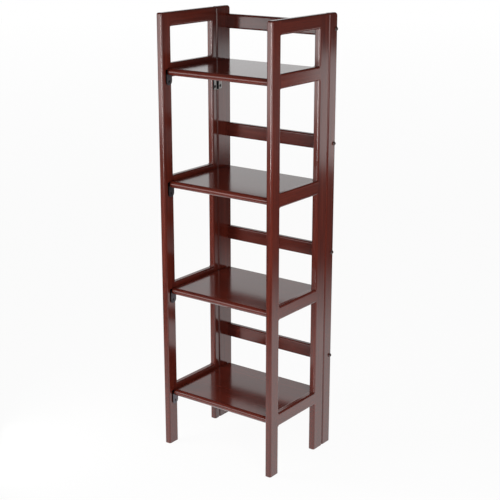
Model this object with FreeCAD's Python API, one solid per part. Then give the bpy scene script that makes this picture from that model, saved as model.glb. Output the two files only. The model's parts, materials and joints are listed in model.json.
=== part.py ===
import FreeCAD, Part
import os
from FreeCAD import Vector

# Folding shelf with four tiers, in millimetres.
# The origin is on the floor, in the middle of the footprint. +Z is up, the front faces -Y.
# Levels are counted from the top, starting at 1.

# Overall size. The height follows from the levels.
WIDTH = 360.0
DEPTH = 284.0
LEVELS = 4
LEVEL_PITCH = 294.0
LOWEST_RAIL_BOTTOM = 134.0
TOP_BAY_RISE = 164.0

# Timber sections
STOCK_THICK = 18.0
FRONT_POST_WIDTH = 36.0
LEFT_REAR_POST_WIDTH = 19.5
RAIL_HEIGHT = 36.0
SLAT_THICK = 17.0
SLAT_HEIGHT = 38.0
SLAT_LIFT = 80.0
EDGE_ROUND = 4.5
STILE_CORNER_ROUND = 9.0
STILE_SEAM_CORNER_ROUND = 5.0

# Shelves
SHELF_THICK = 18.0
SHELF_DROP = 12.0
SHELF_SETBACK = 15.0
SHELF_OVERHANG = 11.5
SHELF_END_GAP = 3.0
SHELF_EDGE_ROUND = 2.5
NOSING_DEPTH = 26.0

# Room left when everything lies folded together
SEAM_GAP = 1.0
SLAT_FOLD_GAP = 0.5
RIGHT_HARDWARE_GAP = 2.5
LEFT_HARDWARE_GAP = 4.0

# Shelf pivots
PIVOT_RISE = 5.5
PIVOT_RADIUS = 2.5
PIVOT_IN_SHELF = 22.0
PIVOT_IN_STILE = 10.0
PIN_CHAMFER = 0.5
WASHER_RADIUS = 4.5
WASHER_THICK = 2.4
WASHER_CLEARANCE = 0.2

# Shelf catches
CATCH_PIN_RADIUS = 2.0
CATCH_PIN_INSET = 15.0
CATCH_PIN_IN_SHELF = 18.0
CATCH_PIN_REACH = 2.5
CATCH_PLATE_THICK = 2.0
CATCH_PLATE_WIDTH = 23.0
CATCH_PLATE_SETBACK = 12.0
CATCH_PLATE_DROP = 26.0
CATCH_PLATE_RISE = 15.0
CATCH_PLATE_CORNER = 3.0
CATCH_NOTCH_CLEARANCE = 0.4
CATCH_SCREW_RISE = 10.0

# Hinges
HINGE_LENGTH = 50.0
HINGE_DROP = 10.5
LEAF_WIDTH = 18.0
LEAF_THICK = 1.5
LEAF_CORNER = 2.5
KNUCKLE_RADIUS = 2.5
KNUCKLES = 5
KNUCKLE_GAP = 0.2
KNUCKLE_CLEARANCE = 0.4
HINGE_PIN_RADIUS = 1.25
HINGE_PIN_HEAD_RADIUS = 2.0
HINGE_PIN_HEAD = 1.5
HINGE_SCREW_END_INSET = 8.0
HINGE_SCREW_OFFSET = 11.5

# Fasteners and dowels
SCREW_RADIUS = 1.5
SCREW_HEAD_RADIUS = 3.0
SCREW_HEAD_HEIGHT = 1.4
SCREW_LENGTH = 13.0
BOLT_RADIUS = 3.0
BOLT_HEAD_RADIUS = 5.5
BOLT_HEAD_HEIGHT = 5.2
BOLT_NUT_INSET = 22.0
BOLT_END_PAST_NUT = 1.0
NUT_RADIUS = 5.0
NUT_SINK = 1.5
NUT_FLOOR = 2.5
RAIL_DOWEL_RADIUS = 4.0
RAIL_DOWEL_LENGTH = 30.0
RAIL_DOWEL_SPACING = 18.0
SLAT_DOWEL_RADIUS = 3.0
SLAT_DOWEL_LENGTH = 24.0
SLAT_DOWEL_SPACING = 24.0
FIT_CLEARANCE = 0.05
HOLE_END_CLEARANCE = 1.0

# How closely edges are matched when they are picked for rounding
COORDINATE_TOLERANCE = 0.01
PARALLEL_SHARE = 0.999

LEFT = -1
RIGHT = 1
SIDE_NAMES = {LEFT: "left", RIGHT: "right"}
SIDES = (LEFT, RIGHT)
LEVEL_NUMBERS = range(1, LEVELS + 1)

# Heights
HEIGHT = LOWEST_RAIL_BOTTOM + (LEVELS - 1) * LEVEL_PITCH + TOP_BAY_RISE

# Depths counted from the front face. The shelf stands in front of the slats when it is up,
# the right frame folds against it, and the left frame folds over the right one.
SLAT_FRONT = DEPTH - SLAT_THICK
PIVOT_DEPTH = SLAT_FRONT - SLAT_FOLD_GAP - (SHELF_THICK - PIVOT_RISE)
RIGHT_SEAM = PIVOT_DEPTH - PIVOT_RISE - RIGHT_HARDWARE_GAP
LEFT_SEAM = RIGHT_SEAM - STOCK_THICK - LEFT_HARDWARE_GAP
SEAMS = {LEFT: LEFT_SEAM, RIGHT: RIGHT_SEAM}
REAR_POST_FRONT = LEFT_SEAM - LEFT_REAR_POST_WIDTH

# Widths counted from the middle
OUTER_FACE = WIDTH / 2
INNER_FACE = OUTER_FACE - STOCK_THICK
SHELF_END = INNER_FACE - SHELF_END_GAP

ALONG_X = Vector(1, 0, 0)
ALONG_Y = Vector(0, 1, 0)
ALONG_Z = Vector(0, 0, 1)


def deep(distance):
    """Y of a point that lies this far behind the front face."""
    return distance - DEPTH / 2


def rail_bottom(level):
    return LOWEST_RAIL_BOTTOM + (LEVELS - level) * LEVEL_PITCH


def shelf_top(level):
    return rail_bottom(level) + RAIL_HEIGHT - SHELF_DROP


def shelf_bottom(level):
    return shelf_top(level) - SHELF_THICK


def pivot_height(level):
    return shelf_bottom(level) + PIVOT_RISE


def slat_middle(level):
    return shelf_top(level) + SLAT_LIFT + SLAT_HEIGHT / 2


def block(x_ends, y_ends, z_ends):
    """Box between pairs of ends, given in either order."""
    low = Vector(min(x_ends), min(y_ends), min(z_ends))
    high = Vector(max(x_ends), max(y_ends), max(z_ends))
    size = high - low
    return Part.makeBox(size.x, size.y, size.z, low)


def rod(radius, start, direction, length):
    return Part.makeCylinder(radius, length, start, direction)


def chamfered_rod(radius, start, direction, length, chamfer):
    bar = rod(radius, start, direction, length)
    rims = [edge for edge in bar.Edges if edge.Closed]
    return bar.makeChamfer(chamfer, rims)


def eased(solid, radius, wanted):
    """Rounds the edges whose middle point and direction satisfy wanted(point, tangent)."""
    chosen = []
    for edge in solid.Edges:
        middle = (edge.FirstParameter + edge.LastParameter) / 2
        if wanted(edge.valueAt(middle), edge.tangentAt(middle)):
            chosen.append(edge)
    return solid.makeFillet(radius, chosen)


def near(value, target):
    """Whether two coordinates are the same."""
    return abs(value - target) < COORDINATE_TOLERANCE


def lies_along(tangent, direction):
    """Whether two unit vectors are parallel, either way round."""
    return abs(tangent.dot(direction)) > PARALLEL_SHARE


def cut_all(solid, tools):
    return solid.cut(Part.makeCompound(tools)) if tools else solid


def joined(pieces):
    return pieces[0].multiFuse(pieces[1:]).removeSplitter() if len(pieces) > 1 else pieces[0]


def upright_segment(x_ends, y_ends, z_ends, round_depths):
    """Length of a post: a box whose upright edges are rounded at the depths listed."""
    bar = block(x_ends, y_ends, z_ends)
    return eased(bar, EDGE_ROUND,
                 lambda p, t: lies_along(t, ALONG_Z) and any(near(p.y, y) for y in round_depths))


def window_bounds():
    """Heights at which a post changes between bare window edge and rail joint, from the floor up."""
    marks = [(0.0, rail_bottom(LEVELS), True)]
    for level in reversed(LEVEL_NUMBERS):
        rail_top = rail_bottom(level) + RAIL_HEIGHT
        above = rail_bottom(level - 1) if level > 1 else HEIGHT - RAIL_HEIGHT
        marks.append((rail_bottom(level), rail_top, False))
        marks.append((rail_top, above, True))
    marks.append((HEIGHT - RAIL_HEIGHT, HEIGHT, False))
    return marks


def post(side, front, rear, window_side):
    """Side-frame post. The edges round the windows stop at the rails, the other edges run through."""
    x_ends = (side * INNER_FACE, side * OUTER_FACE)
    y_ends = (deep(front), deep(rear))
    window_depth = deep(window_side)
    free_depth = y_ends[0] if near(window_depth, y_ends[1]) else y_ends[1]
    pieces = []
    for bottom, top, at_window in window_bounds():
        rounded = [free_depth, window_depth] if at_window else [free_depth]
        pieces.append(upright_segment(x_ends, y_ends, (bottom, top), rounded))
    bar = joined(pieces)
    return eased(bar, EDGE_ROUND, lambda p, t: near(p.z, HEIGHT) and not near(p.y, window_depth))


def rail_dowel_starts(side, middle_height):
    """Start points of the four dowels of one rail: two at each end, half in the post."""
    x = side * (INNER_FACE + OUTER_FACE) / 2
    starts = []
    for joint in (FRONT_POST_WIDTH, REAR_POST_FRONT):
        for step in (-1, 1):
            height = middle_height + step * RAIL_DOWEL_SPACING / 2
            starts.append(Vector(x, deep(joint) - RAIL_DOWEL_LENGTH / 2, height))
    return starts


def rail_middles():
    """Middle heights of the rails of a side frame, by name."""
    middles = {"top_rail": HEIGHT - RAIL_HEIGHT / 2}
    for level in LEVEL_NUMBERS:
        middles[f"rail_{level}"] = rail_bottom(level) + RAIL_HEIGHT / 2
    return middles


def rail_dowels(side):
    dowels = []
    for middle in rail_middles().values():
        for start in rail_dowel_starts(side, middle):
            dowels.append(rod(RAIL_DOWEL_RADIUS, start, ALONG_Y, RAIL_DOWEL_LENGTH))
    return dowels


def rail_dowel_holes(side):
    holes = []
    for middle in rail_middles().values():
        for start in rail_dowel_starts(side, middle):
            mouth = start - ALONG_Y * HOLE_END_CLEARANCE
            length = RAIL_DOWEL_LENGTH + 2 * HOLE_END_CLEARANCE
            holes.append(rod(RAIL_DOWEL_RADIUS + FIT_CLEARANCE, mouth, ALONG_Y, length))
    return holes


def rail(side, middle_height):
    x_ends = (side * INNER_FACE, side * OUTER_FACE)
    y_ends = (deep(FRONT_POST_WIDTH), deep(REAR_POST_FRONT))
    z_ends = (middle_height - RAIL_HEIGHT / 2, middle_height + RAIL_HEIGHT / 2)
    return eased(block(x_ends, y_ends, z_ends), EDGE_ROUND, lambda p, t: lies_along(t, ALONG_Y))


def stile(side):
    """Back upright. Seen from the side its upper corners are round, and its long edges are eased."""
    front = deep(SEAMS[side] + SEAM_GAP)
    rear = deep(DEPTH)
    x_low = min(side * INNER_FACE, side * OUTER_FACE)
    slab = block((x_low, x_low + STOCK_THICK), (front, rear), (0.0, HEIGHT))
    slab = eased(slab, STILE_CORNER_ROUND,
                 lambda p, t: lies_along(t, ALONG_X) and near(p.z, HEIGHT) and near(p.y, rear))
    slab = eased(slab, STILE_SEAM_CORNER_ROUND,
                 lambda p, t: lies_along(t, ALONG_X) and near(p.z, HEIGHT) and near(p.y, front))
    faces = (INNER_FACE, OUTER_FACE)
    return eased(slab, EDGE_ROUND,
                 lambda p, t: any(near(abs(p.x), face) for face in faces) and not near(p.z, 0.0))


def slat_joint(side, level):
    """Point where the bolt axis of a slat end meets the stile's inner face."""
    return Vector(side * INNER_FACE, deep(SLAT_FRONT + SLAT_THICK / 2), slat_middle(level))


def slat_dowel_places(side, level):
    lift = ALONG_Z * (SLAT_DOWEL_SPACING / 2)
    start = slat_joint(side, level) - ALONG_X * (SLAT_DOWEL_LENGTH / 2)
    return [start - lift, start + lift]


def slat_dowels():
    dowels = []
    for level in LEVEL_NUMBERS:
        for side in SIDES:
            for start in slat_dowel_places(side, level):
                dowels.append(rod(SLAT_DOWEL_RADIUS, start, ALONG_X, SLAT_DOWEL_LENGTH))
    return dowels


def slat_dowel_holes():
    holes = []
    for level in LEVEL_NUMBERS:
        for side in SIDES:
            for start in slat_dowel_places(side, level):
                mouth = start - ALONG_X * HOLE_END_CLEARANCE
                length = SLAT_DOWEL_LENGTH + 2 * HOLE_END_CLEARANCE
                holes.append(rod(SLAT_DOWEL_RADIUS + FIT_CLEARANCE, mouth, ALONG_X, length))
    return holes


def bolt_reach():
    """Length of a bolt's shank under its head: through the stile, into the slat and past the nut."""
    return STOCK_THICK + BOLT_NUT_INSET + NUT_RADIUS + BOLT_END_PAST_NUT


def slat_bolt(side, level):
    """Dome-headed connector bolt. The dome is a ball cap of the head's radius and height."""
    seat = slat_joint(side, level) + ALONG_X * (side * STOCK_THICK)
    outward = ALONG_X * side
    shank = rod(BOLT_RADIUS, seat, outward * -1, bolt_reach())
    ball_radius = (BOLT_HEAD_RADIUS ** 2 + BOLT_HEAD_HEIGHT ** 2) / (2 * BOLT_HEAD_HEIGHT)
    ball_middle = seat - outward * (ball_radius - BOLT_HEAD_HEIGHT)
    ball = Part.makeSphere(ball_radius, ball_middle, outward)
    cap = ball.common(rod(2 * ball_radius, seat, outward, 2 * ball_radius))
    return shank.fuse(cap).removeSplitter()


def nut_start(side, level):
    """Front end of a barrel nut, which lies across the slat, open to the rear."""
    joint = slat_joint(side, level)
    return Vector(joint.x - side * BOLT_NUT_INSET, deep(SLAT_FRONT + NUT_FLOOR), joint.z)


def nut_length():
    return SLAT_THICK - NUT_FLOOR - NUT_SINK


def barrel_nut(side, level):
    body = rod(NUT_RADIUS, nut_start(side, level), ALONG_Y, nut_length())
    bore_length = BOLT_NUT_INSET + 2 * NUT_RADIUS
    bore = rod(BOLT_RADIUS + FIT_CLEARANCE, slat_joint(side, level), ALONG_X * -side, bore_length)
    return body.cut(bore)


def slat_bolt_holes():
    """Clearance bores for the bolts, through the stiles and into the slats."""
    holes = []
    for level in LEVEL_NUMBERS:
        for side in SIDES:
            mouth = slat_joint(side, level) + ALONG_X * (side * (STOCK_THICK + HOLE_END_CLEARANCE))
            length = bolt_reach() + 2 * HOLE_END_CLEARANCE
            holes.append(rod(BOLT_RADIUS + FIT_CLEARANCE, mouth, ALONG_X * -side, length))
    return holes


def slat(level):
    middle = slat_middle(level)
    y_ends = (deep(SLAT_FRONT), deep(DEPTH))
    z_ends = (middle - SLAT_HEIGHT / 2, middle + SLAT_HEIGHT / 2)
    bar = block((-INNER_FACE, INNER_FACE), y_ends, z_ends)
    bar = eased(bar, EDGE_ROUND, lambda p, t: lies_along(t, ALONG_X))
    nut_holes = []
    for side in SIDES:
        start = nut_start(side, level)
        nut_holes.append(rod(NUT_RADIUS + FIT_CLEARANCE, start, ALONG_Y, SLAT_THICK))
    return cut_all(bar, nut_holes + slat_bolt_holes() + slat_dowel_holes())


def nosing_rear():
    return SHELF_SETBACK + NOSING_DEPTH


def pivot_pins(level):
    """Steel pins, set into the shelf ends and turning in the stiles."""
    pins = []
    for side in SIDES:
        start = Vector(side * (SHELF_END - PIVOT_IN_SHELF), deep(PIVOT_DEPTH), pivot_height(level))
        length = PIVOT_IN_SHELF + SHELF_END_GAP + PIVOT_IN_STILE
        pins.append(chamfered_rod(PIVOT_RADIUS, start, ALONG_X * side, length, PIN_CHAMFER))
    return pins


def pivot_holes(level):
    holes = []
    for side in SIDES:
        inset = SHELF_END - PIVOT_IN_SHELF - HOLE_END_CLEARANCE
        start = Vector(side * inset, deep(PIVOT_DEPTH), pivot_height(level))
        length = PIVOT_IN_SHELF + SHELF_END_GAP + PIVOT_IN_STILE + 2 * HOLE_END_CLEARANCE
        holes.append(rod(PIVOT_RADIUS + FIT_CLEARANCE, start, ALONG_X * side, length))
    return holes


def pivot_washers():
    """Flat washers on the stiles that keep the shelf ends clear of them."""
    washers = []
    for level in LEVEL_NUMBERS:
        for side in SIDES:
            seat = Vector(side * INNER_FACE, deep(PIVOT_DEPTH), pivot_height(level))
            ring = rod(WASHER_RADIUS, seat, ALONG_X * -side, WASHER_THICK)
            bore = rod(PIVOT_RADIUS + WASHER_CLEARANCE, seat, ALONG_X * -side, WASHER_THICK)
            washers.append(ring.cut(bore))
    return washers


def catch_pin_point(side, level):
    """Middle of a catch pin where it leaves the shelf end."""
    depth = deep(SHELF_SETBACK + CATCH_PIN_INSET)
    return Vector(side * SHELF_END, depth, shelf_bottom(level) + SHELF_THICK / 2)


def catch_pins(level):
    pins = []
    for side in SIDES:
        start = catch_pin_point(side, level) - ALONG_X * (side * CATCH_PIN_IN_SHELF)
        length = CATCH_PIN_IN_SHELF + CATCH_PIN_REACH
        pins.append(chamfered_rod(CATCH_PIN_RADIUS, start, ALONG_X * side, length, PIN_CHAMFER))
    return pins


def catch_pin_holes(level):
    holes = []
    for side in SIDES:
        depth = CATCH_PIN_IN_SHELF + HOLE_END_CLEARANCE
        start = catch_pin_point(side, level) - ALONG_X * (side * depth)
        holes.append(rod(CATCH_PIN_RADIUS + FIT_CLEARANCE, start, ALONG_X * side, depth + SHELF_END_GAP))
    return holes


def shelf_board(level):
    y_ends = (deep(nosing_rear()), deep(PIVOT_DEPTH + SHELF_OVERHANG))
    board = block((-SHELF_END, SHELF_END), y_ends, (shelf_bottom(level), shelf_top(level)))
    board = eased(board, SHELF_EDGE_ROUND,
                  lambda p, t: not lies_along(t, ALONG_Z) and not near(p.y, y_ends[0]))
    return cut_all(board, pivot_holes(level))


def shelf_nosing(level):
    """Front strip with a half-round face, eased at its two ends."""
    radius = SHELF_THICK / 2
    bottom = shelf_bottom(level)
    top = shelf_top(level)
    arc_depth = deep(SHELF_SETBACK + radius)
    front = Vector(-SHELF_END, deep(SHELF_SETBACK), bottom + radius)
    low = Vector(-SHELF_END, arc_depth, bottom)
    high = Vector(-SHELF_END, arc_depth, top)
    rear_low = Vector(-SHELF_END, deep(nosing_rear()), bottom)
    rear_high = Vector(-SHELF_END, deep(nosing_rear()), top)
    outline = [Part.Arc(low, front, high).toShape(), Part.makeLine(high, rear_high),
               Part.makeLine(rear_high, rear_low), Part.makeLine(rear_low, low)]
    strip = Part.Face(Part.Wire(outline)).extrude(ALONG_X * (2 * SHELF_END))
    strip = eased(strip, SHELF_EDGE_ROUND,
                  lambda p, t: near(abs(p.x), SHELF_END) and not near(p.y, deep(nosing_rear())))
    return cut_all(strip, catch_pin_holes(level))


def screw(seat, inward):
    """Countersunk wood screw. Its head's flat face lies at the seat, and its shank points inward."""
    head = Part.makeCone(SCREW_HEAD_RADIUS, SCREW_RADIUS, SCREW_HEAD_HEIGHT, seat, inward)
    shank = rod(SCREW_RADIUS, seat + inward * SCREW_HEAD_HEIGHT, inward, SCREW_LENGTH - SCREW_HEAD_HEIGHT)
    return head.fuse(shank)


def screw_room(seat, inward):
    """Countersunk hole and pilot hole that a screw fits, with the fit clearance."""
    wide = SCREW_HEAD_RADIUS + FIT_CLEARANCE
    narrow = SCREW_RADIUS + FIT_CLEARANCE
    sink = Part.makeCone(wide, narrow, SCREW_HEAD_HEIGHT, seat, inward)
    return sink.fuse(rod(narrow, seat, inward, SCREW_LENGTH + HOLE_END_CLEARANCE))


def catch_plate_bottom(level):
    return shelf_bottom(level) - CATCH_PLATE_DROP


def catch_screw_seat(side, level):
    depth = deep(CATCH_PLATE_SETBACK + CATCH_PLATE_WIDTH / 2)
    face = side * (INNER_FACE - CATCH_PLATE_THICK)
    return Vector(face, depth, catch_plate_bottom(level) + CATCH_SCREW_RISE)


def catch_plate(side, level):
    """Tongue with a round lower end and, at its upper edge, an open notch for the catch pin."""
    x = side * INNER_FACE
    radius = CATCH_PLATE_WIDTH / 2
    front = deep(CATCH_PLATE_SETBACK)
    rear = front + CATCH_PLATE_WIDTH
    shoulder = catch_plate_bottom(level) + radius
    top = shelf_bottom(level) + CATCH_PLATE_RISE
    lowest = Vector(x, front + radius, catch_plate_bottom(level))
    front_low = Vector(x, front, shoulder)
    front_high = Vector(x, front, top)
    rear_low = Vector(x, rear, shoulder)
    rear_high = Vector(x, rear, top)
    outline = [Part.makeLine(front_low, front_high), Part.makeLine(front_high, rear_high),
               Part.makeLine(rear_high, rear_low), Part.Arc(rear_low, lowest, front_low).toShape()]
    inward = ALONG_X * -side
    tongue = Part.Face(Part.Wire(outline)).extrude(inward * CATCH_PLATE_THICK)
    tongue = eased(tongue, CATCH_PLATE_CORNER,
                   lambda p, t: lies_along(t, ALONG_X) and near(p.z, top) and near(p.y, front))
    pin = catch_pin_point(side, level)
    notch_radius = CATCH_PIN_RADIUS + CATCH_NOTCH_CLEARANCE
    notch_round = rod(notch_radius, Vector(x, pin.y, pin.z), inward, CATCH_PLATE_THICK)
    notch_mouth = block((x, x - side * CATCH_PLATE_THICK), (pin.y - notch_radius, pin.y + notch_radius),
                        (pin.z, top + HOLE_END_CLEARANCE))
    screw_hole = screw_room(catch_screw_seat(side, level), ALONG_X * side)
    return cut_all(tongue, [notch_round, notch_mouth, screw_hole])


def hinge_bottoms():
    """Lower ends of the hinges of one seam: under the top shelf and under the lowest one."""
    return {"upper": shelf_bottom(1) - HINGE_DROP - HINGE_LENGTH,
            "lower": shelf_bottom(LEVELS) - HINGE_DROP - HINGE_LENGTH}


def hinge_axis(side, bottom):
    return Vector(side * INNER_FACE, deep(SEAMS[side] + SEAM_GAP / 2), bottom)


def leaf_screw_seats(side, bottom, reach):
    """Screw seats of one leaf. reach is -1 for the leaf on the side frame and 1 for that on the stile."""
    axis = hinge_axis(side, bottom)
    y = axis.y + reach * HINGE_SCREW_OFFSET
    x = side * (INNER_FACE - LEAF_THICK)
    heights = (bottom + HINGE_SCREW_END_INSET, bottom + HINGE_LENGTH - HINGE_SCREW_END_INSET)
    return [Vector(x, y, height) for height in heights]


def hinge_leaf(side, bottom, reach):
    """Flat leaf with every other knuckle. The leaf on the side frame has the two end ones."""
    axis = hinge_axis(side, bottom)
    x_ends = (side * INNER_FACE, side * (INNER_FACE - LEAF_THICK))
    root = axis.y + reach * (KNUCKLE_RADIUS + KNUCKLE_CLEARANCE)
    far = axis.y + reach * LEAF_WIDTH
    plate = block(x_ends, (root, far), (bottom, bottom + HINGE_LENGTH))
    plate = eased(plate, LEAF_CORNER, lambda p, t: lies_along(t, ALONG_X) and near(p.y, far))
    pitch = HINGE_LENGTH / KNUCKLES
    pieces = [plate]
    for number in range(0 if reach < 0 else 1, KNUCKLES, 2):
        low = bottom + number * pitch + KNUCKLE_GAP / 2
        high = bottom + (number + 1) * pitch - KNUCKLE_GAP / 2
        pieces.append(rod(KNUCKLE_RADIUS, Vector(axis.x, axis.y, low), ALONG_Z, high - low))
        pieces.append(block(x_ends, (axis.y, root), (low, high)))
    bore = rod(HINGE_PIN_RADIUS + FIT_CLEARANCE, axis, ALONG_Z, HINGE_LENGTH)
    holes = [screw_room(seat, ALONG_X * side) for seat in leaf_screw_seats(side, bottom, reach)]
    return cut_all(joined(pieces), [bore] + holes)


def hinge_pin(side, bottom):
    axis = hinge_axis(side, bottom)
    shank = rod(HINGE_PIN_RADIUS, axis, ALONG_Z, HINGE_LENGTH)
    low_head = rod(HINGE_PIN_HEAD_RADIUS, axis, ALONG_Z * -1, HINGE_PIN_HEAD)
    high_head = rod(HINGE_PIN_HEAD_RADIUS, axis + ALONG_Z * HINGE_LENGTH, ALONG_Z, HINGE_PIN_HEAD)
    return joined([shank, low_head, high_head])


def hinge_room(side):
    """What the hinges of one seam take out of the timber: room for the knuckles, and the screw holes."""
    tools = []
    for bottom in hinge_bottoms().values():
        start = hinge_axis(side, bottom) - ALONG_Z * (HINGE_PIN_HEAD + HOLE_END_CLEARANCE)
        length = HINGE_LENGTH + 2 * (HINGE_PIN_HEAD + HOLE_END_CLEARANCE)
        tools.append(rod(KNUCKLE_RADIUS + KNUCKLE_CLEARANCE, start, ALONG_Z, length))
        for reach in (-1, 1):
            for seat in leaf_screw_seats(side, bottom, reach):
                tools.append(screw_room(seat, ALONG_X * side))
    return tools


def hinge_screws():
    screws = []
    for side in SIDES:
        for bottom in hinge_bottoms().values():
            for reach in (-1, 1):
                for seat in leaf_screw_seats(side, bottom, reach):
                    screws.append(screw(seat, ALONG_X * side))
    return screws


def catch_seats():
    return [(side, catch_screw_seat(side, level)) for side in SIDES for level in LEVEL_NUMBERS]


def side_frame(side):
    """The seven timbers of a side frame, by node name."""
    name = SIDE_NAMES[side]
    catch_holes = [screw_room(seat, ALONG_X * at) for at, seat in catch_seats() if at == side]
    front_post = post(side, 0.0, FRONT_POST_WIDTH, FRONT_POST_WIDTH)
    rear_post = post(side, REAR_POST_FRONT, SEAMS[side], REAR_POST_FRONT)
    dowel_holes = rail_dowel_holes(side)
    timbers = {f"{name}_front_post": cut_all(front_post, dowel_holes + catch_holes),
               f"{name}_rear_post": cut_all(rear_post, dowel_holes + hinge_room(side))}
    for rail_name, middle in rail_middles().items():
        timbers[f"{name}_{rail_name}"] = cut_all(rail(side, middle), dowel_holes)
    return timbers


def back_frame():
    """The stiles and slats, by node name."""
    timbers = {}
    pivots = [hole for level in LEVEL_NUMBERS for hole in pivot_holes(level)]
    for side in SIDES:
        holes = pivots + slat_bolt_holes() + slat_dowel_holes() + hinge_room(side)
        timbers[f"back_stile_{SIDE_NAMES[side]}"] = cut_all(stile(side), holes)
    for level in LEVEL_NUMBERS:
        timbers[f"back_slat_{level}"] = slat(level)
    return timbers


def shelves():
    """Each shelf's board, front strip and pins, by node name."""
    pieces = {}
    for level in LEVEL_NUMBERS:
        pieces[f"shelf_{level}_board"] = shelf_board(level)
        pieces[f"shelf_{level}_nosing"] = shelf_nosing(level)
        pieces[f"shelf_{level}_pivot_pins"] = Part.makeCompound(pivot_pins(level))
        pieces[f"shelf_{level}_catch_pins"] = Part.makeCompound(catch_pins(level))
    return pieces


def hinges():
    """Each hinge's two leaves and pin, by node name."""
    pieces = {}
    for side in SIDES:
        for place, bottom in hinge_bottoms().items():
            name = f"{place}_{SIDE_NAMES[side]}_hinge"
            pieces[f"{name}_frame_leaf"] = hinge_leaf(side, bottom, -1)
            pieces[f"{name}_stile_leaf"] = hinge_leaf(side, bottom, 1)
            pieces[f"{name}_pin"] = hinge_pin(side, bottom)
    return pieces


def hardware():
    """Catch plates, fasteners and dowels. Identical ones share a node."""
    pieces = {}
    for side in SIDES:
        name = SIDE_NAMES[side]
        plates = [catch_plate(side, level) for level in LEVEL_NUMBERS]
        pieces[f"{name}_catch_plates"] = Part.makeCompound(plates)
        pieces[f"{name}_frame_dowels"] = Part.makeCompound(rail_dowels(side))
    ends = [(side, level) for side in SIDES for level in LEVEL_NUMBERS]
    pieces["slat_bolts"] = Part.makeCompound([slat_bolt(side, level) for side, level in ends])
    pieces["slat_barrel_nuts"] = Part.makeCompound([barrel_nut(side, level) for side, level in ends])
    pieces["slat_dowels"] = Part.makeCompound(slat_dowels())
    pieces["pivot_washers"] = Part.makeCompound(pivot_washers())
    pieces["hinge_screws"] = Part.makeCompound(hinge_screws())
    catch_screws = [screw(seat, ALONG_X * side) for side, seat in catch_seats()]
    pieces["catch_screws"] = Part.makeCompound(catch_screws)
    return pieces


def main():
    nodes = {}
    for side in SIDES:
        nodes.update(side_frame(side))
    nodes.update(back_frame())
    nodes.update(shelves())
    nodes.update(hinges())
    nodes.update(hardware())
    os.makedirs("parts", exist_ok=True)
    for name, shape in nodes.items():
        shape.exportStep(f"parts/{name}.step")
    print(f"{len(nodes)} nodes, {HEIGHT:g} mm tall")


main()
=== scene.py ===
import json
import math
from functools import partial
import bpy
import numpy as np
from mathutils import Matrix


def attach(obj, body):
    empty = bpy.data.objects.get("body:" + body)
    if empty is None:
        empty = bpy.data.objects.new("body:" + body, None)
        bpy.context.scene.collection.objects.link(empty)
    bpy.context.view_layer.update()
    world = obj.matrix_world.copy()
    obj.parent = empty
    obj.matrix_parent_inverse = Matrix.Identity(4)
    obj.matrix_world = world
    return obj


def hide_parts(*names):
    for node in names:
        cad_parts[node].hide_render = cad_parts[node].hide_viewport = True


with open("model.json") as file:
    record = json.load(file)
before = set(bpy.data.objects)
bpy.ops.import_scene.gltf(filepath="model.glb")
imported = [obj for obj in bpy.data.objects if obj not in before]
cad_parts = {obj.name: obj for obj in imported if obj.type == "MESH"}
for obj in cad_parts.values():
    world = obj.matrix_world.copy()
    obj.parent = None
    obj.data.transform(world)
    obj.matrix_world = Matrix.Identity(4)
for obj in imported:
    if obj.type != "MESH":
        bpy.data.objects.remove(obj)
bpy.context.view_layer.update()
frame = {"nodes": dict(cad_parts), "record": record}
MM = 0.001

# Camera, in metres and degrees, with its lens and sensor in millimetres. The photograph's upright lines
# are parallel. This camera looks down instead, from the place that comes closest to it, so that the
# frame needs no shift.
CAMERA_PLACE = (1.804, -2.426, 1.458)
CAMERA_AZIMUTH = 36.5
CAMERA_ELEVATION = 16.6
CAMERA_LENS = 85.3
SENSOR_WIDTH = 36.0

# Paper sweep and room, in metres from the glow's centre. Brightness is given where 1 is white. For the
# camera, the paper goes over into the white behind it between the two horizons. In the gloss it is
# bright up to SWEEP_NEAR, and as dim as the room from SWEEP_FAR on.
FLOOR_HALF_WIDTH = 40.0
FLOOR_GLOW_SHARE = 0.95
HORIZON_NEAR = 2.5
HORIZON_FAR = 12.0
GLOW_CENTRE = (0.25, 0.22, 0.0)
SWEEP_NEAR = 0.75
SWEEP_FAR = 1.6
SWEEP_GLOSS = 1.6
DIM_STUDIO = 0.1
AMBIENT = 0.28
WHITE = (1.0, 1.0, 1.0, 1.0)

# Soft boxes: place, width and height in metres, and power in watts
LAMP_AIM = (0.0, 0.0, 0.7)
SOFT_BOXES = {
    "left_box": ((-0.55, -0.52, 0.62), (0.35, 1.2), 6.5),
    "right_box": ((0.95, -0.75, 0.85), (0.6, 0.9), 11.0),
}

# White cards: place, width and height in metres, and brightness where 1 is white
WHITE_CARDS = {
    "front_card": ((-1.45, -2.0, 0.96), (1.7, 0.98), 3.3),
    "strip_card": ((-0.63, -2.35, 0.8), (0.34, 1.04), 40.0),
    "right_card": ((1.97, -1.38, 1.0), (3.4, 1.2), 2.6),
    "back_card": ((-1.7, 2.0, 0.9), (4.0, 1.7), 0.88),
    "side_card": ((1.1, 2.0, 0.57), (0.65, 0.5), 2.2),
}

# Wood figure: how far apart its features lie across and along the grain, in millimetres, and the share
# of the grain in the streaks. Real pores are about 0.1 mm wide. These are as coarse as they need to be
# to show.
FIGURE_ACROSS, FIGURE_ALONG = 26.0, 420.0
GRAIN_ACROSS, GRAIN_ALONG = 3.2, 130.0
PORE_ACROSS, PORE_ALONG = 0.9, 14.0
GRAIN_SHARE = 0.55

# Plating and nylon, in millimetres. Real rolling lines are much finer. These are as coarse as they need
# to be to show.
PLATING_MOTTLE = 6.0
LINE_ACROSS, LINE_ALONG = 0.35, 14.0
NYLON_CLOUD = 6.0

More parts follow.
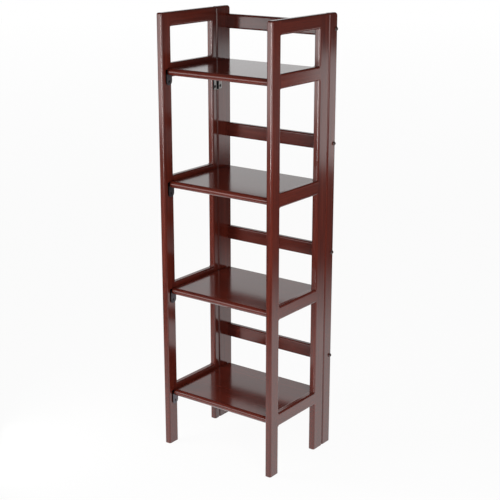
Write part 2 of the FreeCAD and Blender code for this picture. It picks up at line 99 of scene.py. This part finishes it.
# Hinges and catches, in millimetres, as in their solids. The left side is -1 and the right side is 1.
SIDES = (-1, 1)
LEVEL_COUNT = 4
LEVEL_PITCH = 294.0
LEVEL_STEPS = LEVEL_PITCH * np.arange(LEVEL_COUNT)
HINGE_PIN_OFFSET = 162.0
HINGE_PIN_DEPTHS = {-1: 82.5, 1: 104.5}
HINGE_LOWER_MIDDLE = 104.5
HINGE_UPPER_MIDDLE = HINGE_LOWER_MIDDLE + LEVEL_STEPS[-1]
HINGE_LEAF_REACH = 18.0
HINGE_SCREW_FACE = 160.5
HINGE_SCREW_REACH = 11.5
HINGE_SCREW_RISE = 17.0
CATCH_FRONT = -130.0
CATCH_SCREW_FACE = 160.0
CATCH_SCREW_DEPTH = -118.5
CATCH_SCREW_LOWEST = 124.0

# Painted shade round the hinge pins, painted shadow along the front edges of the hinges and catches,
# and dark rings round the hinge screws: how far they reach and fade, in millimetres
KNUCKLE_SHADE_RADIUS = 5.2
LEAF_EDGE_SHADOW = 2.2
SCREW_RING_RADIUS = 3.6
CATCH_EDGE_SHADOW = 2.1
DARK_MARK_FADE = 0.8

# Wood screws with a cross recess, in millimetres. The shares of the cross are of its rim's size.
SCREW_LENGTH = 13.0
SCREW_TIP_LENGTH = 3.0
SCREW_TIP_SHARE = 0.15
SCREW_RADIUS = 1.5
SCREW_HEAD_RADIUS = 3.0
SCREW_HEAD_HEIGHT = 1.4
SCREW_FACE_SHARE = 0.95
SCREW_EASE = 0.1
SCREW_PITCH = 1.2
SCREW_THREAD = 0.35
CROSS_HALF_LENGTH = 1.75
CROSS_HALF_WIDTH = 0.42
CROSS_DEPTH = 1.0
CROSS_FLOOR_SHARE = 0.35
CROSS_WALL_SHARE = 0.94
CROSS_RIM_SHARE = 1.04

# Slat bolts with a hexagon socket, in millimetres. The shares of the socket are of its hexagon's size.
BOLT_LENGTH = 46.0
BOLT_TIP_SHARE = 0.75
BOLT_RADIUS = 3.0
BOLT_HEAD_RADIUS = 5.5
BOLT_HEAD_HEIGHT = 5.2
BOLT_PITCH = 1.0
BOLT_THREAD = 0.3
BOLT_THREAD_LENGTH = 18.0
BOLT_SEAT = 180.0
BOLT_DEPTH = 133.5
BOLT_LOWEST = 257.0
SOCKET_HALF_WIDTH = 2.0
SOCKET_DEPTH = 2.8
SOCKET_FLOOR_SHARE = 0.5
SOCKET_WALL_SHARE = 0.98
SOCKET_RIM_SHARE = 1.08
SOCKET_EASE = 0.05
DOME_RINGS = 12
DOME_SPACING_POWER = 0.7

# Mesh of the screws and bolts. Each copy is turned by one step more than the last, in radians. An edge
# is sharp from an angle in degrees.
SECTORS = 48
RINGS_PER_PITCH = 6
TURN_STEP = 2.4
SHARP_ANGLE = 38.0


def linear(hex_code):
    """Turns an sRGB hex colour into linear red, green, blue and alpha."""
    shares = [int(hex_code[i:i + 2], 16) / 255 for i in (1, 3, 5)]
    return tuple(s / 12.92 if s <= 0.04045 else ((s + 0.055) / 1.055) ** 2.4 for s in shares) + (1.0,)


def add(tree, kind, inputs, stops=(), **settings):
    """Adds a node with its settings. An input gets a link if its value is a socket, else the value.
    stops are the pairs of position and colour of a colour ramp."""
    made = tree.nodes.new(kind)
    for name, value in settings.items():
        setattr(made, name, value)
    for name, value in inputs.items():
        if isinstance(value, bpy.types.NodeSocket):
            tree.links.new(value, made.inputs[name])
        else:
            made.inputs[name].default_value = value
    for number, (position, color) in enumerate(stops):
        elements = made.color_ramp.elements
        element = elements[number] if number < len(elements) else elements.new(position)
        element.position = position
        element.color = color
    return made


def new_material(name):
    """Material with an empty node tree, and that tree."""
    material = bpy.data.materials.new(name)
    material.use_nodes = True
    material.node_tree.nodes.clear()
    return material, material.node_tree


def grain_scale(along, across_mm, along_mm):
    """Scale of a pattern that is stretched along one axis, in features per metre."""
    return tuple(1 / (MM * (along_mm if axis == along else across_mm)) for axis in "xyz")


def lacquered_walnut(along):
    """Beech stained to dark walnut, sanded and sprayed with gloss lacquer.

    The stain leaves red-brown streaks along the grain and darker short pores. The lacquer fills them,
    so the gloss is smooth, and only a trace of the grain shows in its surface."""
    material, tree = new_material(f"lacquered_walnut_{along}")
    place = add(tree, "ShaderNodeTexCoord", {}).outputs["Object"]
    figure_place, grain_place, pore_place = (
        add(tree, "ShaderNodeMapping",
            {"Vector": place, "Scale": grain_scale(along, across_mm, along_mm)}).outputs[0]
        for across_mm, along_mm in ((FIGURE_ACROSS, FIGURE_ALONG), (GRAIN_ACROSS, GRAIN_ALONG),
                                    (PORE_ACROSS, PORE_ALONG)))
    figure = add(tree, "ShaderNodeTexNoise",
                 {"Vector": figure_place, "Scale": 1.0, "Detail": 3.0, "Distortion": 0.6})
    grain = add(tree, "ShaderNodeTexNoise",
                {"Vector": grain_place, "Scale": 1.0, "Detail": 5.0, "Roughness": 0.6})
    pores = add(tree, "ShaderNodeTexNoise", {"Vector": pore_place, "Scale": 1.0, "Detail": 2.0})
    streaks = add(tree, "ShaderNodeMix",
                  {0: GRAIN_SHARE, 2: figure.outputs["Fac"], 3: grain.outputs["Fac"]})
    stain = add(tree, "ShaderNodeValToRGB", {"Fac": streaks.outputs[0]},
                stops=[(0.32, linear("#491812")), (0.50, linear("#592016")), (0.68, linear("#6a281c"))])
    pore_depth = add(tree, "ShaderNodeMapRange",
                     {"Value": pores.outputs["Fac"], "From Min": 0.56, "From Max": 0.72, "To Max": 0.35})
    color = add(tree, "ShaderNodeMix",
                {0: pore_depth.outputs[0], 6: stain.outputs["Color"], 7: linear("#2c100b")},
                data_type="RGBA")
    roughness = add(tree, "ShaderNodeMapRange",
                    {"Value": grain.outputs["Fac"], "To Min": 0.34, "To Max": 0.48})
    bump = add(tree, "ShaderNodeBump",
               {"Height": streaks.outputs[0], "Strength": 0.12, "Distance": 0.2 * MM})
    shader = add(tree, "ShaderNodeBsdfPrincipled",
                 {"Base Color": color.outputs[2], "Roughness": roughness.outputs[0],
                  "Normal": bump.outputs[0], "Specular IOR Level": 0.0, "Coat Weight": 1.0,
                  "Coat Roughness": 0.15, "Coat IOR": 1.5})
    add(tree, "ShaderNodeOutputMaterial", {"Surface": shader.outputs[0]})
    return material


def hinge_shade_and_rings(side, tree, place):
    """How far a place lies outside the dark parts of a hinge: the painted shade round its pin, the
    painted shadow along its front edge, and a dark ring round each screw head.

    It is the least of three lengths: the distance from the pin less the painted shade's radius, the
    distance behind the front edge less the painted shadow's width, and the distance from the nearest
    screw less its ring's radius. The screws lie as far before the pin as behind it and as far above the
    hinge's middle as below it, and the hinges of a side are whole levels apart, so all fold onto one
    screw."""
    middle = (side * HINGE_PIN_OFFSET * MM, HINGE_PIN_DEPTHS[side] * MM, HINGE_LOWER_MIDDLE * MM)
    screw = (0.0, HINGE_SCREW_REACH * MM, HINGE_SCREW_RISE * MM)
    # Only heights are folded, because the object stays within 1 m of the pin across and in depth
    half_level = (1.0, 1.0, LEVEL_PITCH / 2 * MM)
    offset = add(tree, "ShaderNodeVectorMath", {0: place, 1: middle}, operation="SUBTRACT").outputs[0]
    across_pin = add(tree, "ShaderNodeVectorMath", {0: offset, 1: (1.0, 1.0, 0.0)}, operation="MULTIPLY")
    from_pin = add(tree, "ShaderNodeVectorMath", {0: across_pin.outputs[0]}, operation="LENGTH")
    # Painted shade: the barrel round the pin is drawn near black
    past_knuckle_shade = add(tree, "ShaderNodeMath", {0: from_pin.outputs["Value"], 1: KNUCKLE_SHADE_RADIUS * MM},
                      operation="SUBTRACT")
    # Painted shadow along the leaf's front edge
    depth = add(tree, "ShaderNodeSeparateXYZ", {0: offset}).outputs["Y"]
    past_edge_shadow = add(tree, "ShaderNodeMath", {0: depth, 1: (HINGE_LEAF_REACH - LEAF_EDGE_SHADOW) * MM},
                    operation="ADD")
    # Dark ring round each screw head
    one_hinge = add(tree, "ShaderNodeVectorMath",
                    {0: offset, 1: half_level, 2: tuple(-size for size in half_level)}, operation="WRAP")
    one_quarter = add(tree, "ShaderNodeVectorMath", {0: one_hinge.outputs[0]}, operation="ABSOLUTE")
    to_screw = add(tree, "ShaderNodeVectorMath", {0: one_quarter.outputs[0], 1: screw},
                   operation="SUBTRACT")
    across_screw = add(tree, "ShaderNodeVectorMath", {0: to_screw.outputs[0], 1: (0.0, 1.0, 1.0)},
                       operation="MULTIPLY")
    from_screw = add(tree, "ShaderNodeVectorMath", {0: across_screw.outputs[0]}, operation="LENGTH")
    past_screw_ring = add(tree, "ShaderNodeMath", {0: from_screw.outputs["Value"], 1: SCREW_RING_RADIUS * MM},
                     operation="SUBTRACT")
    past_nearer_mark = add(tree, "ShaderNodeMath", {0: past_edge_shadow.outputs[0], 1: past_screw_ring.outputs[0]},
                     operation="MINIMUM")
    return add(tree, "ShaderNodeMath", {0: past_knuckle_shade.outputs[0], 1: past_nearer_mark.outputs[0]},
               operation="MINIMUM").outputs[0]


def catch_painted_shadow(tree, place):
    """How far a place lies behind the painted shadow along the front edge of a catch plate."""
    depth = add(tree, "ShaderNodeSeparateXYZ", {0: place}).outputs["Y"]
    return add(tree, "ShaderNodeMath", {0: depth, 1: (CATCH_FRONT + CATCH_EDGE_SHADOW) * MM},
               operation="SUBTRACT").outputs[0]


def plated_steel(name, tints, gloss, metallic=1.0, stain=None):
    """Steel with a thin plating, or with enamel where it isn't metallic.

    The eye sees a faint mottle between two tints, and fine rolling lines between two roughnesses. stain
    gives how far a place lies outside the dark marks drawn on it: painted shade and shadow, and the
    rings round the hinge screws. They fade out just past their border."""
    material, tree = new_material(name)
    place = add(tree, "ShaderNodeTexCoord", {}).outputs["Object"]
    mottle = add(tree, "ShaderNodeTexNoise",
                 {"Vector": place, "Scale": 1 / (PLATING_MOTTLE * MM), "Detail": 3.0})
    line_place = add(tree, "ShaderNodeMapping",
                     {"Vector": place, "Scale": grain_scale("z", LINE_ACROSS, LINE_ALONG)})
    lines = add(tree, "ShaderNodeTexNoise",
                {"Vector": line_place.outputs[0], "Scale": 1.0, "Detail": 2.0})
    color = add(tree, "ShaderNodeValToRGB", {"Fac": mottle.outputs["Fac"]},
                stops=[(0.35, linear(tints[0])), (0.65, linear(tints[1]))]).outputs["Color"]
    # Near-black painted shade and shadow, and the hinge screws' dark rings
    if stain:
        share = add(tree, "ShaderNodeMapRange",
                    {"Value": stain(tree, place), "From Min": 0.0, "From Max": DARK_MARK_FADE * MM,
                     "To Min": 1.0, "To Max": 0.0})
        color = add(tree, "ShaderNodeMix", {0: share.outputs[0], 6: color, 7: linear("#070606")},
                    data_type="RGBA").outputs[2]
    roughness = add(tree, "ShaderNodeMapRange",
                    {"Value": lines.outputs["Fac"], "To Min": gloss[0], "To Max": gloss[1]})
    bump = add(tree, "ShaderNodeBump",
               {"Height": lines.outputs["Fac"], "Strength": 0.1, "Distance": 0.05 * MM})
    shader = add(tree, "ShaderNodeBsdfPrincipled",
                 {"Base Color": color, "Metallic": metallic,
                  "Roughness": roughness.outputs[0], "Normal": bump.outputs[0]})
    add(tree, "ShaderNodeOutputMaterial", {"Surface": shader.outputs[0]})
    return material


def turned_beech():
    """Bare beech dowel: pale, with short darker flecks along the rod."""
    material, tree = new_material("turned_beech")
    place = add(tree, "ShaderNodeTexCoord", {}).outputs["Object"]
    fleck_place = add(tree, "ShaderNodeMapping",
                      {"Vector": place, "Scale": grain_scale("y", PORE_ACROSS, PORE_ALONG)})
    flecks = add(tree, "ShaderNodeTexNoise",
                 {"Vector": fleck_place.outputs[0], "Scale": 1.0, "Detail": 3.0})
    tint = add(tree, "ShaderNodeValToRGB", {"Fac": flecks.outputs["Fac"]},
               stops=[(0.35, linear("#b58a5c")), (0.65, linear("#d9b688"))])
    shader = add(tree, "ShaderNodeBsdfPrincipled",
                 {"Base Color": tint.outputs["Color"], "Roughness": 0.6})
    add(tree, "ShaderNodeOutputMaterial", {"Surface": shader.outputs[0]})
    return material


def natural_nylon():
    """Moulded nylon washer: milky, with a faint cloudiness."""
    material, tree = new_material("natural_nylon")
    place = add(tree, "ShaderNodeTexCoord", {}).outputs["Object"]
    cloud = add(tree, "ShaderNodeTexNoise", {"Vector": place, "Scale": 1 / (NYLON_CLOUD * MM)})
    tint = add(tree, "ShaderNodeValToRGB", {"Fac": cloud.outputs["Fac"]},
               stops=[(0.3, linear("#d8d4c6")), (0.7, linear("#ebe8dd"))])
    shader = add(tree, "ShaderNodeBsdfPrincipled",
                 {"Base Color": tint.outputs["Color"], "Roughness": 0.45})
    add(tree, "ShaderNodeOutputMaterial", {"Surface": shader.outputs[0]})
    return material


def grain_direction(node):
    """Axis of the grain: upright in posts and stiles, front to back in rails, across in the rest."""
    if "post" in node or "stile" in node:
        return "z"
    return "y" if "rail" in node else "x"


def dress_nodes():
    """Gives every solid the finish of its material slot. Returns the finishes that pieces share."""
    walnut = {axis: lacquered_walnut(axis) for axis in "xyz"}
    # The hinges and catches get painted shade and shadow, and the hinge screws get dark rings
    hinge = {name: plated_steel(f"nickel_hinge_{name}", ("#7f7c7a", "#949190"), (0.25, 0.40),
                                stain=partial(hinge_shade_and_rings, side))
             for name, side in zip(("left", "right"), SIDES)}
    finishes = {
        "dowel_wood": turned_beech(),
        "washer_nylon": natural_nylon(),
        "catch_steel": plated_steel("blue_zinc_catch", ("#464246", "#555155"), (0.28, 0.42),
                                    stain=catch_painted_shadow),
        "screw_steel": plated_steel("black_zinc_screw", ("#181717", "#252323"), (0.25, 0.40)),
        "pin_steel": plated_steel("drawn_steel_pin", ("#7d7b79", "#94918e"), (0.20, 0.32)),
        "bolt_black": plated_steel("brown_enamelled_bolt", ("#36221f", "#432c28"), (0.25, 0.35),
                                   metallic=0.0),
    }
    for part in frame["record"]["subparts"]:
        name, slot = part["node"], part["material_slot"]
        if slot == "walnut":
            material = walnut[grain_direction(name)]
        elif slot == "hinge_steel":
            material = hinge["left" if "left" in name else "right"]
        else:
            material = finishes[slot]
        frame["nodes"][name].material_slots[0].material = material
    return finishes


def turned_surface(radii, heights):
    """Points, four-sided faces and end faces of a closed surface round an upright axis.

    Row i of the two arrays holds the radius and height of ring i at each angle, from the top down. The
    x and y of a point are its radius times the cosine and sine of its angle. Each end closes in one
    point on the axis."""
    rings, sectors = radii.shape
    angle = 2 * np.pi * np.arange(sectors) / sectors
    grid = np.stack([radii * np.cos(angle), radii * np.sin(angle), heights], axis=-1).reshape(-1, 3)
    tips = np.array([(0, 0, heights[0].mean()), (0, 0, heights[-1].mean())])
    points = np.concatenate([grid, tips])
    here = np.arange(sectors)
    beside = (here + 1) % sectors
    row = sectors * np.arange(rings - 1)[:, None]
    walls = np.stack([row + here, row + sectors + here, row + sectors + beside, row + beside], axis=-1)
    last = sectors * (rings - 1)
    top = np.stack([np.full(sectors, rings * sectors), here, beside], axis=-1)
    tip = np.stack([np.full(sectors, rings * sectors + 1), last + beside, last + here], axis=-1)
    return points, walls.reshape(-1, 4), np.concatenate([top, tip])


def thread(outer, depth, pitch, start, end):
    """Radii and heights of the rings of a screw thread between two heights.

    The radius is the outer one less the depth times a triangle wave, and the wave's phase is the
    height divided by the pitch plus the share of a turn. It fades in over the first pitch."""
    rings = round(RINGS_PER_PITCH * abs(end - start) / pitch)
    height = np.linspace(start, end, rings)[:, None]
    turn = np.arange(SECTORS) / SECTORS
    wave = np.abs(2 * ((height / pitch + turn) % 1) - 1)
    fade = np.clip(np.abs(height - start) / pitch, 0, 1)
    return outer - depth * wave * fade, height + 0 * turn


def cross_screw():
    """Countersunk wood screw with a cross recess, its face at height 0 and its tip below.

    In each quarter turn the rim of the recess is the nearer of an arm's end, the half length over the
    cosine, and an arm's side, the half width over the sine. It narrows towards its floor. The sine is
    kept above a small share, at which the side lies well past the arm's end."""
    angle = 2 * np.pi * np.arange(SECTORS) / SECTORS
    from_arm = np.abs((angle + np.pi / 4) % (np.pi / 2) - np.pi / 4)
    smallest_sine = CROSS_HALF_WIDTH / CROSS_HALF_LENGTH / 2
    arm_side = CROSS_HALF_WIDTH / np.maximum(np.sin(from_arm), smallest_sine)
    cross = np.minimum(CROSS_HALF_LENGTH / np.cos(from_arm), arm_side)
    ring = np.ones(SECTORS)
    threaded, thread_heights = thread(SCREW_RADIUS, SCREW_THREAD, SCREW_PITCH,
                                      -SCREW_HEAD_HEIGHT - SCREW_PITCH, SCREW_TIP_LENGTH - SCREW_LENGTH)
    head = [CROSS_FLOOR_SHARE * cross, CROSS_WALL_SHARE * cross, CROSS_RIM_SHARE * cross,
            SCREW_FACE_SHARE * SCREW_HEAD_RADIUS * ring, SCREW_HEAD_RADIUS * ring, SCREW_RADIUS * ring]
    head_heights = [-CROSS_DEPTH, -SCREW_EASE, 0.0, 0.0, -SCREW_EASE, -SCREW_HEAD_HEIGHT]
    radii = np.concatenate([head, threaded, [SCREW_TIP_SHARE * SCREW_RADIUS * ring]])
    heights = np.concatenate([np.outer(head_heights, ring), thread_heights, [-SCREW_LENGTH * ring]])
    return turned_surface(radii, heights)


def socket_bolt():
    """Dome-headed bolt with a hexagon socket, its seat at height 0 and its shank below.

    The dome is part of a ball through the head's rim and top. The socket's radius is its half width
    over the cosine of the angle from the nearest flat, and the dome's rings go over from that hexagon
    to the round rim."""
    angle = 2 * np.pi * np.arange(SECTORS) / SECTORS
    hexagon = SOCKET_HALF_WIDTH / np.cos((angle + np.pi / 6) % (np.pi / 3) - np.pi / 6)
    ring = np.ones(SECTORS)
    ball = (BOLT_HEAD_RADIUS ** 2 + BOLT_HEAD_HEIGHT ** 2) / (2 * BOLT_HEAD_HEIGHT)
    share = np.linspace(0, 1, DOME_RINGS)[:, None] ** DOME_SPACING_POWER
    dome = (1 - share) * SOCKET_RIM_SHARE * hexagon + share * BOLT_HEAD_RADIUS
    dome_heights = np.sqrt(ball ** 2 - dome ** 2) - ball + BOLT_HEAD_HEIGHT
    socket = [SOCKET_FLOOR_SHARE * hexagon, SOCKET_WALL_SHARE * hexagon, hexagon]
    floor = (BOLT_HEAD_HEIGHT - SOCKET_DEPTH) * ring
    socket_heights = [floor, floor, dome_heights[0] - SOCKET_EASE]
    threaded, thread_heights = thread(BOLT_RADIUS, BOLT_THREAD, BOLT_PITCH,
                                      BOLT_THREAD_LENGTH - BOLT_LENGTH, BOLT_PITCH - BOLT_LENGTH)
    radii = np.concatenate([socket, dome, [BOLT_RADIUS * ring], threaded,
                            [BOLT_TIP_SHARE * BOLT_RADIUS * ring]])
    heights = np.concatenate([socket_heights, dome_heights, [0 * ring], thread_heights,
                              [-BOLT_LENGTH * ring]])
    return turned_surface(radii, heights)


def fastener_set(name, shape, spots, facing, material):
    """One piece of many copies of a shape along X, each with its face or seat at a spot.

    facing is 1 where the faces look away from the middle of the object, and -1 where they look towards
    it. A copy's point is its spot, plus the point's height along that way and its x and y across it,
    turned by a different angle each."""
    points, walls, ends = shape
    spots = np.array(spots)
    outward = facing * np.sign(spots[:, :1])
    turn = TURN_STEP * np.arange(len(spots))[:, None]
    across = points[:, 0] * np.cos(turn) - points[:, 1] * np.sin(turn)
    upright = points[:, 0] * np.sin(turn) + points[:, 1] * np.cos(turn)
    placed = np.stack([outward * points[:, 2], outward * across, upright], axis=-1)
    placed = (placed + spots[:, None, :]).reshape(-1, 3) * MM
    shifts = len(points) * np.arange(len(spots))[:, None, None]
    faces = (walls + shifts).reshape(-1, 4).tolist() + (ends + shifts).reshape(-1, 3).tolist()
    mesh = bpy.data.meshes.new(name)
    mesh.from_pydata(placed.tolist(), [], faces)
    mesh.shade_smooth()
    mesh.set_sharp_from_angle(angle=math.radians(SHARP_ANGLE))
    mesh.materials.append(material)
    piece = bpy.data.objects.new(name, mesh)
    bpy.context.scene.collection.objects.link(piece)
    return piece


def make_fasteners(finishes):
    """The screws of the hinges and catches, and the bolts of the slats."""
    hinge_spots = [(side * HINGE_SCREW_FACE, HINGE_PIN_DEPTHS[side] + reach, middle + rise)
                   for side in SIDES
                   for reach in (-HINGE_SCREW_REACH, HINGE_SCREW_REACH)
                   for middle in (HINGE_LOWER_MIDDLE, HINGE_UPPER_MIDDLE)
                   for rise in (-HINGE_SCREW_RISE, HINGE_SCREW_RISE)]
    catch_spots = [(side * CATCH_SCREW_FACE, CATCH_SCREW_DEPTH, CATCH_SCREW_LOWEST + step)
                   for side in SIDES for step in LEVEL_STEPS]
    bolt_spots = [(side * BOLT_SEAT, BOLT_DEPTH, BOLT_LOWEST + step)
                  for side in SIDES for step in LEVEL_STEPS]
    screw = cross_screw()
    for name, spots in (("hinge", hinge_spots), ("catch", catch_spots)):
        screws = fastener_set(f"{name}_cross_screws", screw, spots, -1, finishes["screw_steel"])
        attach(screws, "frame")
        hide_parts(f"{name}_screws")
    bolts = fastener_set("slat_socket_bolts", socket_bolt(), bolt_spots, 1, finishes["bolt_black"])
    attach(bolts, "frame")
    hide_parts("slat_bolts")


def flat_square(name, half_width):
    """Square at height 0: the signs of its corners times the half width."""
    signs = np.array([(-1, -1, 0), (1, -1, 0), (1, 1, 0), (-1, 1, 0)])
    mesh = bpy.data.meshes.new(name)
    mesh.from_pydata((half_width * signs).tolist(), [], [(0, 1, 2, 3)])
    piece = bpy.data.objects.new(name, mesh)
    bpy.context.scene.collection.objects.link(piece)
    return piece


def seen_directly(tree):
    """1 for rays from the camera, from gloss or through glass, and 0 for the rays that light things."""
    path = add(tree, "ShaderNodeLightPath", {})
    camera_or_gloss = add(tree, "ShaderNodeMath",
                          {0: path.outputs["Is Camera Ray"], 1: path.outputs["Is Glossy Ray"]},
                          operation="MAXIMUM")
    return add(tree, "ShaderNodeMath",
               {0: camera_or_gloss.outputs[0], 1: path.outputs["Is Transmission Ray"]},
               operation="MAXIMUM").outputs[0]


def make_floor():
    """White paper sweep. It glows so that it stays white, and still takes the shadow. Far off it goes
    over into the white behind it, with no horizon. In the gloss, only its lit middle is bright."""
    floor = flat_square("floor", FLOOR_HALF_WIDTH)
    material, tree = new_material("white_paper_sweep")
    path = add(tree, "ShaderNodeLightPath", {})
    place = add(tree, "ShaderNodeTexCoord", {}).outputs["Object"]
    from_centre = add(tree, "ShaderNodeVectorMath", {0: place, 1: GLOW_CENTRE}, operation="SUBTRACT")
    away = add(tree, "ShaderNodeVectorMath", {0: from_centre.outputs[0]}, operation="LENGTH")
    in_gloss = add(tree, "ShaderNodeMapRange",
                   {"Value": away.outputs["Value"], "From Min": SWEEP_NEAR, "From Max": SWEEP_FAR,
                    "To Min": SWEEP_GLOSS, "To Max": DIM_STUDIO})
    glow = add(tree, "ShaderNodeMix",
               {0: path.outputs["Is Camera Ray"], 2: in_gloss.outputs[0], 3: 1.0})
    paper = add(tree, "ShaderNodeBsdfDiffuse", {"Color": linear("#eeeeec")})
    light = add(tree, "ShaderNodeEmission", {"Color": WHITE, "Strength": glow.outputs[0]})
    fade = add(tree, "ShaderNodeMapRange",
               {"Value": away.outputs["Value"], "From Min": HORIZON_NEAR, "From Max": HORIZON_FAR,
                "To Min": FLOOR_GLOW_SHARE, "To Max": 1.0})
    share = add(tree, "ShaderNodeMath", {0: seen_directly(tree), 1: fade.outputs[0]},
                operation="MULTIPLY")
    mixed = add(tree, "ShaderNodeMixShader",
                {0: share.outputs[0], 1: paper.outputs[0], 2: light.outputs[0]})
    add(tree, "ShaderNodeOutputMaterial", {"Surface": mixed.outputs[0]})
    floor.data.materials.append(material)


def make_world():
    """White studio for the camera. Around the lit set the room is dim, and that is what gloss shows."""
    world = bpy.data.worlds.new("studio")
    bpy.context.scene.world = world
    world.use_nodes = True
    tree = world.node_tree
    tree.nodes.clear()
    path = add(tree, "ShaderNodeLightPath", {})
    shown = add(tree, "ShaderNodeMath", {0: path.outputs["Is Camera Ray"], 1: DIM_STUDIO},
                operation="MAXIMUM")
    strength = add(tree, "ShaderNodeMix", {0: seen_directly(tree), 2: AMBIENT, 3: shown.outputs[0]})
    room = add(tree, "ShaderNodeBackground", {"Color": WHITE, "Strength": strength.outputs[0]})
    add(tree, "ShaderNodeOutputWorld", {"Surface": room.outputs[0]})


def panel(name, place, target, size, watts):
    """Rectangular lamp of a width and height, at a place, aimed at a target."""
    lamp = bpy.data.lights.new(name, "AREA")
    lamp.shape = "RECTANGLE"
    lamp.size, lamp.size_y = size
    lamp.energy = watts
    piece = bpy.data.objects.new(name, lamp)
    bpy.context.scene.collection.objects.link(piece)
    aim = np.subtract(target, place)
    across = math.hypot(aim[0], aim[1])
    piece.location = place
    piece.rotation_euler = (math.atan2(across, -aim[2]), 0.0, math.atan2(-aim[0], aim[1]))
    piece.visible_camera = False
    return piece


def make_lights():
    """Two soft boxes that light the object and leave no mark in the gloss, and upright cards that only
    show in it. The front and side faces mirror a card each, the shelves the back one, and the rounded
    edges the strip and the right one. A card's power is its brightness times pi and its area."""
    for name, (place, size, watts) in SOFT_BOXES.items():
        panel(name, place, LAMP_AIM, size, watts).visible_glossy = False
    for name, (place, size, brightness) in WHITE_CARDS.items():
        level_aim = (0.0, 0.0, place[2])
        watts = brightness * math.pi * size[0] * size[1]
        panel(name, place, level_aim, size, watts).visible_diffuse = False


def make_camera():
    """Camera at the photograph's viewing angle."""
    data = bpy.data.cameras.new("camera")
    data.sensor_width = SENSOR_WIDTH
    data.lens = CAMERA_LENS
    camera = bpy.data.objects.new("camera", data)
    camera.location = CAMERA_PLACE
    camera.rotation_euler = (math.radians(90 - CAMERA_ELEVATION), 0.0, math.radians(CAMERA_AZIMUTH))
    bpy.context.scene.collection.objects.link(camera)
    bpy.context.scene.camera = camera


make_fasteners(dress_nodes())
make_floor()
make_world()
make_lights()
make_camera()
bpy.context.scene.view_settings.view_transform = "Standard"
